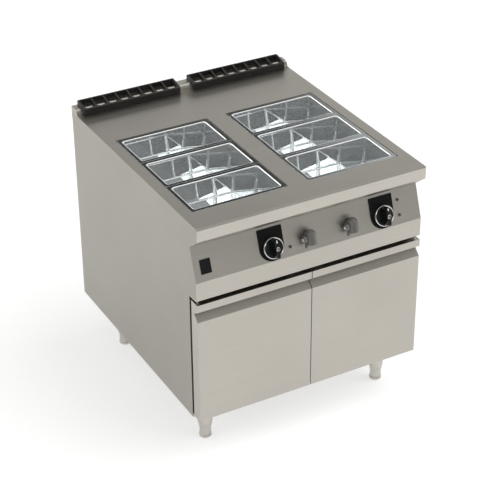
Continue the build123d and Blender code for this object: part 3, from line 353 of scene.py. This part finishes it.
# Matt enamel on sand-cast iron: a deep warm black with a fine grain, and faint glints along the edges.
enamel = coated("matt_black_enamel_on_cast_iron", fresh="#131312", worn="#1e1d1b", roughness=(0.42, 0.6),
                grain=sand_grain, grain_depth=sand_depth, edge=cast_edge)
for side in ("left", "right"):
    node = f"vent_grille_{side}"
    low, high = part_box(node)
    slope = Vector((0, -grille_front_drop, high.y - low.y - grille_flat)).normalized()
    form = bmesh.new()
    form.from_mesh(frame["nodes"][node].data)
    bmesh.ops.remove_doubles(form, verts=form.verts, dist=weld_gap)
    cut = bmesh.ops.bisect_plane(form, geom=form.verts[:] + form.edges[:] + form.faces[:], dist=weld_gap,
                                 plane_co=(0, high.y - grille_flat, high.z), plane_no=slope, clear_outer=True)
    rims = [item for item in cut["geom_cut"] if isinstance(item, bmesh.types.BMEdge)]
    bmesh.ops.triangle_fill(form, edges=rims, use_beauty=True, use_dissolve=True, normal=slope)
    bmesh.ops.recalc_face_normals(form, faces=form.faces)
    casting = bpy.data.meshes.new(f"cast_{node}")
    form.to_mesh(casting)
    form.free()
    casting.shade_flat()
    casting.materials.clear()
    casting.materials.append(enamel)
    grille = bpy.data.objects.new(f"cast_{node}", casting)
    bpy.context.scene.collection.objects.link(grille)
    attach(grille, f"{side}_grille")
    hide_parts(node)

# Badge plate: a bare black-lacquered aluminium plate with a raised border round a plain field. It is
# pressed from sheet and glued to the left end of the control panel.
badge_across = -359.6 * MM
badge_rise = 45.2 * MM
badge_width = 36 * MM
badge_height = 45.5 * MM
badge_thickness = 1.0 * MM
badge_edge = 0.3 * MM
badge_border = 2.2 * MM
badge_field_drop = 0.35 * MM
badge_corner = 1.5 * MM
lacquer_grain = 0.8 * MM  # real specks are under 0.1 mm; drawn this coarse so that they show
joints = {joint["name"]: joint for joint in frame["joints"]}
panel_out = -Vector(joints["left_knob_turn"]["axis"]).normalized()
panel_up = Vector((0, panel_out.z, -panel_out.y))
panel_axes = Matrix((Vector((1, 0, 0)), panel_up, panel_out)).transposed().to_4x4()
panel_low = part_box("control_panel")[0]
# Lacquer on aluminium: near black, with a dim even gloss.
lacquer = coated("black_lacquer_on_aluminium", fresh="#0c0d0d", worn="#121212", roughness=(0.3, 0.42),
                 grain=lacquer_grain, grain_depth=0.01 * MM, edge=badge_edge, specular=0.2)
badge_steps = [
    (0, 0),
    (0, badge_thickness - badge_edge),
    (badge_edge, badge_thickness),
    (badge_border, badge_thickness),
    (badge_border + badge_field_drop, badge_thickness - badge_field_drop),
]
rings = [
    rounded_ring(
        badge_width / 2 - inset, badge_height / 2 - inset, max(badge_corner - inset, badge_edge), height)
    for inset, height in badge_steps
]
spot = Vector((badge_across, panel_low.y, panel_low.z)) + panel_up * badge_rise
mesh = ([], [])
lofted(mesh, rings, Matrix.Translation(spot) @ panel_axes)
make_piece("badge_plate", mesh, lacquer, "cabinet", "black_plastic")

# Knobs: moulded black plastic bars on round bases, each in a chromed ring with a chromed centre cap, on
# a black bezel plate. The knob turns on the thermostat's spindle behind the panel.
skirt_wall = 3 * MM
bead_radius = 2.3 * MM
bead_arc = 160  # degrees
ring_sides = 48
plastic_grain = 0.9 * MM  # a real mould's grain is 0.1 mm; drawn this coarse so that it shows
# Moulded plastic: deep black, with a small sharp gloss along the bar.
moulded = coated("moulded_black_plastic", fresh="#0a0b0b", worn="#111212", roughness=(0.16, 0.24),
                 grain=plastic_grain, grain_depth=0.01 * MM, edge=0.8 * MM)
# Plastic plate with a spark-eroded face: a flat black with hardly any gloss.
bezel_plastic = coated("matt_black_plastic_plate", fresh="#0a0b0b", worn="#101010", roughness=(0.4, 0.5),
                       grain=plastic_grain, grain_depth=0.02 * MM, edge=0.4 * MM, specular=0.12)
# Chrome plate: a bright hard mirror, faintly clouded.
chrome = polished_steel("polished_chrome_plate", light="#dcdcda", dark="#cfcfcd", roughness=(0.06, 0.12),
                        mark_size=20 * MM)
dress(bezel_plastic, "knob_bezel_left", "knob_bezel_right")
dress(moulded, "knob_left", "knob_right")
dress(chrome, "knob_cap_left", "knob_cap_right")


def turned(profile, sides):
    """Rings of points round the Z axis from pairs of radius and height."""
    angles = [2 * math.pi * side / sides for side in range(sides)]
    return [[(radius * math.cos(angle), radius * math.sin(angle), height) for angle in angles]
            for radius, height in profile]


for side in ("left", "right"):
    node = f"knob_skirt_{side}"
    spot = Vector(joints[f"{side}_knob_turn"]["pos_m"])
    offsets = [Vector(vertex.co) - spot for vertex in frame["nodes"][node].data.vertices]
    lifts = [offset.dot(panel_out) for offset in offsets]
    outer = max((offset - panel_out * lift).length for offset, lift in zip(offsets, lifts))
    bead = (outer - bead_radius, max(lifts) - bead_radius)
    profile = [(outer - skirt_wall, min(lifts)), (outer, min(lifts))] + bend(*bead, bead_radius, 0, bead_arc)
    profile.append((outer - skirt_wall, bead[1]))
    mesh = ([], [])
    lofted(mesh, turned(profile, ring_sides), Matrix.Translation(spot) @ panel_axes, closed=True)
    make_piece(f"turned_{node}", mesh, chrome, f"{side}_knob", "chrome", node)

# Index marks: a dab of white paint in a shallow moulded groove, at the upper end of each knob's bar.
# It stands a hair proud of the plastic, and turns with the knob.
mark_length = 9 * MM
mark_width = 2.2 * MM
mark_proud = 0.15 * MM
mark_end_gap = 2.5 * MM
mark_end_flat = 0.05 * MM
bar_lift = 40 * MM  # what stands further out of the panel than this is the knob's bar
# Paint: a clean matt white, small but plain against the black.
mark_paint = coated("white_index_paint", fresh="#f0efea", worn="#e4e2da", roughness=(0.4, 0.5),
                    grain=lacquer_grain, grain_depth=0.01 * MM, edge=0.2 * MM)
for side in ("left", "right"):
    spot = Vector(joints[f"{side}_knob_turn"]["pos_m"])
    offsets = [Vector(vertex.co) - spot for vertex in frame["nodes"][f"knob_{side}"].data.vertices]
    reach = max(panel_up.dot(offset) for offset in offsets if panel_out.dot(offset) > bar_lift)
    top = max(panel_out.dot(offset) for offset in offsets)
    middle = spot + panel_up * (reach - mark_end_gap - mark_length / 2) + panel_out * top
    rings = [rounded_ring(mark_width / 2, mark_length / 2, mark_width / 2 - mark_end_flat, height)
             for height in (-mark_proud, mark_proud)]
    mesh = ([], [])
    lofted(mesh, rings, Matrix.Translation(middle) @ panel_axes)
    make_piece(f"index_mark_{side}", mesh, mark_paint, f"{side}_knob", "chrome")

# Indicator lamps: three small round lenses of smoked acrylic, moulded, with a lamp behind each.
# They are pushed through holes in the panel from the front.

# Smoked acrylic: dark brown, unlit, with a tight glassy gloss.
lens = coated("smoked_acrylic_lens", fresh="#3a3530", worn="#463f39", roughness=(0.08, 0.14),
              grain=3 * MM, grain_depth=0.005 * MM, edge=0.6 * MM)
dress(lens, "indicator_lamps")

# Fill taps: domed barrels of nickel-plated brass on the panel, each with a small lever on its left
# side. A nut holds the barrel to a valve block behind the sheet.

# Satin nickel plate: a dull mid grey, with one soft light down the barrel.
plated = polished_steel("satin_nickel_plate", light="#706e6b", dark="#686663", roughness=(0.3, 0.36),
                        mark_size=40 * MM, metal=0.6)
dress(plated, "tap_body_left", "tap_body_right", "tap_lever_left", "tap_lever_right")

# Tap buttons: small domed buttons of chromed brass that cover the screws in the levers' bosses.
# Each is turned from bar and pressed in, and moves with its lever.
button_radius = 5.2 * MM
button_height = 3 * MM
button_sunk = 0.4 * MM
button_sides = 24
dome_arc = math.radians(85)
dome_steps = 7
for side in ("left", "right"):
    spot = Vector(joints[f"{side}_tap_turn"]["pos_m"])
    spot.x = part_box(f"tap_lever_{side}")[0].x
    angles = [dome_arc * step / dome_steps for step in range(dome_steps + 1)]
    dome = [(button_radius * math.cos(angle), button_height * math.sin(angle)) for angle in angles]
    rings = turned([(button_radius, -button_sunk)] + dome, button_sides)
    mesh = ([], [])
    lofted(mesh, rings, Matrix.Translation(spot) @ Matrix.Rotation(-math.pi / 2, 4, "Y"))
    make_piece(f"tap_button_{side}", mesh, chrome, f"{side}_tap_lever", "chrome")

# Doors: skins of the cabinet's satin sheet, folded with a finger recess along the top, and flat liners
# spot-welded behind them. They hang on pin hinges and close on magnet catches in plastic housings.

# Moulded grey plastic: a dull mid grey with a fine grain.
grey_plastic = coated("moulded_grey_plastic", fresh="#7d7f7d", worn="#878987", roughness=(0.4, 0.55),
                      grain=1.0 * MM, grain_depth=0.02 * MM, edge=0.8 * MM)
dress(satin_across, "door_left", "door_right", "door_liner_left", "door_liner_right", "hinge_brackets")
dress(grey_plastic, "door_catches")

# Legs: thick stainless sleeves under the cabinet's corners, each narrowing to a short cone, and screw
# feet with bevelled pads on stems. They are turned and satin-ground, and the feet screw in and out.

# Satin-ground tube: paler and brighter than the sheets, with a long narrow light down each leg.
leg_steel = satin_steel("satin_stainless_tube", upright, light="#c5c2bb", dark="#bdbab3",
                        roughness=(0.27, 0.3))
dress(leg_steel, "leg_sleeves", "foot_front_left", "foot_front_right", "foot_rear_left", "foot_rear_right")

# Hidden works: thermostats with their spindles, sheathed elements, fill pipes, drains with their levers,
# terminal box, cable gland and water inlet. Bought-in pieces of steel, brass, copper and plastic, screwed
# or soldered on behind the panel, under the wells and at the back.

# Turned steel: bright, with a soft clouded shine.
bright_steel = polished_steel("turned_bright_steel", light="#c4c4c1", dark="#b4b4b0", roughness=(0.2, 0.3),
                              mark_size=12 * MM)
# Turned brass: a warm yellow gleam with duller clouds.
brass = polished_steel("turned_brass", light="#c2a05f", dark="#a9884d", roughness=(0.25, 0.38),
                       mark_size=18 * MM)
# Drawn copper: a warm red-brown, tarnished in clouds.
copper = polished_steel("drawn_copper_tube", light="#c47f5c", dark="#a9684a", roughness=(0.25, 0.4),
                        mark_size=22 * MM)
# Element sheath darkened by heat: a dull brown-grey metal.
sheath = polished_steel("heat_darkened_sheath", light="#6d6761", dark="#57504a", roughness=(0.35, 0.5),
                        mark_size=16 * MM)
for side in ("left", "right"):
    dress(grey_plastic, f"thermostat_{side}")
    dress(bright_steel, f"spindle_{side}", f"drain_lever_{side}")
    dress(brass, f"drain_{side}")
    dress(copper, f"fill_pipe_{side}")
    dress(sheath, f"heating_element_{side}")
dress(copper, "water_supply_pipe")
dress(brass, "water_inlet")
dress(grey_plastic, "terminal_box")
dress(moulded, "cable_gland")

# Back panel screws: cross-slotted pan heads on washers, turned from stainless bar, in a border round the
# back sheet. They hold it to the flanges of the sides, the base and the deck.
screw_inset = 11 * MM
screw_columns = 6
screw_rows = 6
head_radius = 4.2 * MM
head_height = 2.4 * MM
head_top_share = 0.6  # of the head's radius
head_sides = 20
washer_radius = 5.6 * MM
washer_height = 0.8 * MM
washer_sides = 24
slot_width = 1.0 * MM
slot_length_share = 1.1  # of the head's radius
slot_cutter_shares = (1.0, 0.8)  # of the head's height; the lower half of each cutter goes into the head
border_share = 0.49  # of the pattern's width or height: a screw nearer the middle is left out

screws = bpy.data.node_groups.new("back_panel_screws", "GeometryNodeTree")
low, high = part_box("rear_panel")
screw_inputs = {
    "Width": ("NodeSocketFloat", high.x - low.x - 2 * screw_inset),
    "Height": ("NodeSocketFloat", high.z - low.z - 2 * screw_inset),
    "Columns": ("NodeSocketInt", screw_columns),
    "Rows": ("NodeSocketInt", screw_rows),
    "Head Radius": ("NodeSocketFloat", head_radius),
    "Head Height": ("NodeSocketFloat", head_height),
    "Washer Radius": ("NodeSocketFloat", washer_radius),
    "Washer Height": ("NodeSocketFloat", washer_height),
    "Slot Width": ("NodeSocketFloat", slot_width),
    "Finish": ("NodeSocketMaterial", bright_steel),
}
for label, (kind, value) in screw_inputs.items():
    screws.interface.new_socket(name=label, in_out="INPUT", socket_type=kind)
screws.interface.new_socket(name="Geometry", in_out="OUTPUT", socket_type="NodeSocketGeometry")
given = add_node(screws, "NodeGroupInput").outputs

# A grid of places, with those inside its border taken out
grid = add_node(screws, "GeometryNodeMeshGrid", {
    "Size X": given["Width"], "Size Y": given["Height"],
    "Vertices X": given["Columns"], "Vertices Y": given["Rows"]})
position = add_node(screws, "GeometryNodeInputPosition").outputs[0]
place = add_node(screws, "ShaderNodeSeparateXYZ", {"Vector": position})
within = []
for axis, size in (("X", "Width"), ("Y", "Height")):
    away = add_node(screws, "ShaderNodeMath", {0: place.outputs[axis]}, operation="ABSOLUTE")
    limit = add_node(screws, "ShaderNodeMath", {0: given[size], 1: border_share}, operation="MULTIPLY")
    nearer = add_node(screws, "ShaderNodeMath", {
        0: away.outputs[0], 1: limit.outputs[0]}, operation="LESS_THAN")
    within.append(nearer.outputs[0])
inside = add_node(screws, "ShaderNodeMath", {0: within[0], 1: within[1]}, operation="MULTIPLY")
border = add_node(screws, "GeometryNodeDeleteGeometry", {
    "Geometry": grid.outputs["Mesh"], "Selection": inside.outputs[0]})

# A head with a cross cut into it
head_top = add_node(screws, "ShaderNodeMath", {
    0: given["Head Radius"], 1: head_top_share}, operation="MULTIPLY")
head = add_node(screws, "GeometryNodeMeshCone", {
    "Vertices": head_sides, "Side Segments": 1, "Radius Top": head_top.outputs[0],
    "Radius Bottom": given["Head Radius"], "Depth": given["Head Height"]})
head_place = add_node(screws, "ShaderNodeCombineXYZ", {"Z": given["Washer Height"]})
head = add_node(screws, "GeometryNodeTransform", {
    "Geometry": head.outputs["Mesh"], "Translation": head_place.outputs[0]})
slot_length = add_node(screws, "ShaderNodeMath", {
    0: given["Head Radius"], 1: slot_length_share}, operation="MULTIPLY").outputs[0]
slot_lift = add_node(screws, "ShaderNodeMath", {
    0: given["Head Height"], 1: given["Washer Height"]}, operation="ADD")
slot_place = add_node(screws, "ShaderNodeCombineXYZ", {"Z": slot_lift.outputs[0]})
slot_spans = ((slot_length, given["Slot Width"]), (given["Slot Width"], slot_length))
for (span_x, span_y), share in zip(slot_spans, slot_cutter_shares):
    tall = add_node(screws, "ShaderNodeMath", {0: given["Head Height"], 1: share}, operation="MULTIPLY")
    size = add_node(screws, "ShaderNodeCombineXYZ", {"X": span_x, "Y": span_y, "Z": tall.outputs[0]})
    arm = add_node(screws, "GeometryNodeMeshCube", {"Size": size.outputs[0]})
    arm = add_node(screws, "GeometryNodeTransform", {
        "Geometry": arm.outputs["Mesh"], "Translation": slot_place.outputs[0]})
    head = add_node(screws, "GeometryNodeMeshBoolean", {
        "Mesh 1": head.outputs[0], "Mesh 2": arm.outputs[0]}, operation="DIFFERENCE")

# A washer under it, and the whole screw at each place
washer = add_node(screws, "GeometryNodeMeshCylinder", {
    "Vertices": washer_sides, "Radius": given["Washer Radius"], "Depth": given["Washer Height"]})
half_washer = add_node(screws, "ShaderNodeMath", {0: given["Washer Height"], 1: 2}, operation="DIVIDE")
washer_place = add_node(screws, "ShaderNodeCombineXYZ", {"Z": half_washer.outputs[0]})
washer = add_node(screws, "GeometryNodeTransform", {
    "Geometry": washer.outputs["Mesh"], "Translation": washer_place.outputs[0]})
whole = add_node(screws, "GeometryNodeJoinGeometry")
screws.links.new(head.outputs[0], whole.inputs[0])
screws.links.new(washer.outputs[0], whole.inputs[0])
spread = add_node(screws, "GeometryNodeInstanceOnPoints", {
    "Points": border.outputs[0], "Instance": whole.outputs[0]})
solid = add_node(screws, "GeometryNodeRealizeInstances", {"Geometry": spread.outputs[0]})
finished = add_node(screws, "GeometryNodeSetMaterial", {
    "Geometry": solid.outputs[0], "Material": given["Finish"]})
add_node(screws, "NodeGroupOutput", {"Geometry": finished.outputs[0]})

holder = bpy.data.objects.new("screw_pattern", bpy.data.meshes.new("screw_pattern"))
bpy.context.scene.collection.objects.link(holder)
pattern = holder.modifiers.new("back_panel_screws", "NODES")
pattern.node_group = screws
for socket in screws.interface.items_tree:
    if socket.in_out == "INPUT":
        pattern[socket.identifier] = screw_inputs[socket.name][1]
screw_mesh = bpy.data.meshes.new_from_object(holder.evaluated_get(bpy.context.evaluated_depsgraph_get()))
bpy.data.objects.remove(holder)
screw_mesh.name = "back_panel_screws"
back_middle = Matrix.Translation(((low.x + high.x) / 2, high.y, (low.z + high.z) / 2))
screw_mesh.transform(back_middle @ Matrix.Rotation(-math.pi / 2, 4, "X"))
screw_heads = bpy.data.objects.new("back_panel_screws", screw_mesh)
bpy.context.scene.collection.objects.link(screw_heads)
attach(screw_heads, "cabinet")

# Stage: a white paper floor under soft daylight from the right, in a grey room with a white wall behind.
# The steel mirrors the floor in front, the wall behind, the pale ceiling and five soft windows.
floor_half = 40
floor_share = 0.6  # of plain white in what the eye and the mirrors see; the rest takes the shadow
paper_colour = "#f7f7f5"
white = "#ffffff"
# Levels of the room by height, from 0 at the horizon to 1 overhead
front_stops = [(0.0, 0.22), (0.32, 0.22), (0.45, 0.4), (0.64, 0.4), (0.76, 0.4), (0.9, 0.45), (0.97, 1.0)]
left_stops = [(0.0, 1.4), (0.37, 1.4), (0.43, 0.12), (0.49, 0.06), (0.58, 0.06), (0.66, 0.6), (0.9, 0.6),
              (0.97, 1.0)]
right_stops = [(0.0, 1.4), (0.37, 1.4), (0.44, 0.7), (0.5, 0.35), (0.58, 0.2), (0.66, 0.5), (0.9, 0.6),
               (0.97, 1.0)]
# The front turns into the back, and the back's left into its right, over these shares of a direction
backward = (0.75, 0.66, 0)
back_fade = (0.0, 0.7)
rightward = (0.875, -0.485, 0)
right_fade = (0.0, 0.1)
windows = [  # direction, angles to the outer and the inner edge in degrees, level
    (Vector((-0.37, -0.745, 0.545)), 13, 6, 4.5),  # front: the white patches in the pans
    (Vector((-0.40, 0.776, 0.48)), 18, 9, 0.9),  # back left: fills the pans
    (Vector((0.41, 0.0, 0.91)), 16, 8, 1.5),  # high right: the line along the rear rims
    (Vector((-0.58, 0.75, 0.34)), 14, 7, 2.0),  # low back left: the line along the right rims
    (Vector((-0.85, 0.05, 0.52)), 20, 10, 2.7),  # left: the streaks in the pans' corners
]
sun_strength = 2.6
sun_spread = 60  # degrees
sun_direction = Vector((0.75, -0.55, 1))

floor_mesh = bpy.data.meshes.new("studio_floor")
floor_corners = [(-floor_half, -floor_half, 0), (floor_half, -floor_half, 0),
                 (floor_half, floor_half, 0), (-floor_half, floor_half, 0)]
floor_mesh.from_pydata(floor_corners, [], [(0, 1, 2, 3)])
floor = bpy.data.objects.new("studio_floor", floor_mesh)
bpy.context.scene.collection.objects.link(floor)
# Matt paper: plain white to the eye and in the mirrors, with a soft shadow under the cabinet.
paper, tree = empty_material("white_studio_paper")
path = add_node(tree, "ShaderNodeLightPath").outputs
seen = add_node(tree, "ShaderNodeMath", {0: path["Is Camera Ray"], 1: path["Is Glossy Ray"]}, operation="ADD")
seen = add_node(tree, "ShaderNodeMath", {0: seen.outputs[0], 1: path["Is Transmission Ray"]}, operation="ADD",
                use_clamp=True)
share = add_node(tree, "ShaderNodeMath", {0: seen.outputs[0], 1: floor_share}, operation="MULTIPLY")
matt = add_node(tree, "ShaderNodeBsdfDiffuse", {"Color": linear(paper_colour)})
plain = add_node(tree, "ShaderNodeEmission", {"Color": linear(white), "Strength": 1.0})
surface = add_node(tree, "ShaderNodeMixShader", {
    0: share.outputs[0], 1: matt.outputs[0], 2: plain.outputs[0]})
add_node(tree, "ShaderNodeOutputMaterial", {"Surface": surface.outputs[0]})
floor_mesh.materials.append(paper)

room = bpy.data.worlds.new("studio_room")
bpy.context.scene.world = room
room.use_nodes = True
tree = room.node_tree
tree.nodes.clear()
direction = add_node(tree, "ShaderNodeTexCoord").outputs["Generated"]
height = add_node(tree, "ShaderNodeSeparateXYZ", {"Vector": direction}).outputs["Z"]


def room_level(stops):
    """Brightness of the room by height, from pairs of height and level."""
    ramp = add_node(tree, "ShaderNodeValToRGB", {"Fac": height})
    ramp.color_ramp.interpolation = "EASE"
    elements = ramp.color_ramp.elements
    while len(elements) < len(stops):
        elements.new(0.5)
    for element, (position, level) in zip(elements, stops):
        element.position = position
        element.color = (level, level, level, 1)
    return ramp.outputs[0]


def room_side(towards, fade, most=1.0):
    """Value that grows smoothly towards one side of the room, over a range of that side's direction."""
    reach = add_node(tree, "ShaderNodeVectorMath", {0: direction, 1: towards}, operation="DOT_PRODUCT")
    side = add_node(tree, "ShaderNodeMapRange", {
        "Value": reach.outputs["Value"], "From Min": fade[0], "From Max": fade[1], "To Max": most},
        interpolation_type="SMOOTHSTEP")
    return side.outputs[0]


back = add_node(tree, "ShaderNodeMix", {
    mix_share: room_side(rightward, right_fade), mix_first: room_level(left_stops),
    mix_second: room_level(right_stops)}, data_type="RGBA")
level = add_node(tree, "ShaderNodeMix", {
    mix_share: room_side(backward, back_fade), mix_first: room_level(front_stops),
    mix_second: back.outputs[mixed]}, data_type="RGBA")
for middle, outer, inner, brightness in windows:
    pane_edge = [math.cos(math.radians(angle)) for angle in (outer, inner)]
    pane = room_side(middle.normalized(), pane_edge, brightness)
    level = add_node(tree, "ShaderNodeMix", {
        mix_share: 1.0, mix_first: level.outputs[mixed], mix_second: pane},
        data_type="RGBA", blend_type="ADD")
air = add_node(tree, "ShaderNodeBackground", {"Color": level.outputs[mixed], "Strength": 1.0})
add_node(tree, "ShaderNodeOutputWorld", {"Surface": air.outputs[0]})

daylight = bpy.data.lights.new("soft_daylight", "SUN")
daylight.energy = sun_strength
daylight.angle = math.radians(sun_spread)
sun = bpy.data.objects.new("soft_daylight", daylight)
bpy.context.scene.collection.objects.link(sun)
sun.rotation_euler = sun_direction.to_track_quat("Z", "Y").to_euler()
sun.visible_glossy = False

# Camera: a long lens in front of the cabinet's left corner and well above it, turned to the cabinet's
# middle. Its place, turn and lens are those fitted to the photograph.
camera_azimuth = math.radians(-28.79)
camera_elevation = math.radians(31.06)
camera_roll = math.radians(-0.355)
camera_distance = 5.3059
camera_aim = Vector((0.0232, 0.0114, 0.4238))
camera_lens = 114.08
towards = Vector((
    math.sin(camera_azimuth) * math.cos(camera_elevation),
    -math.cos(camera_azimuth) * math.cos(camera_elevation),
    math.sin(camera_elevation),
))
optics = bpy.data.cameras.new("photo_camera")
optics.lens = camera_lens
camera = bpy.data.objects.new("photo_camera", optics)
bpy.context.scene.collection.objects.link(camera)
stand = Matrix.Translation(camera_aim + towards * camera_distance)
turn = towards.to_track_quat("Z", "Y").to_matrix().to_4x4()
camera.matrix_world = stand @ turn @ Matrix.Rotation(camera_roll, 4, "Z")
bpy.context.scene.camera = camera
bpy.context.scene.view_settings.view_transform = "Standard"
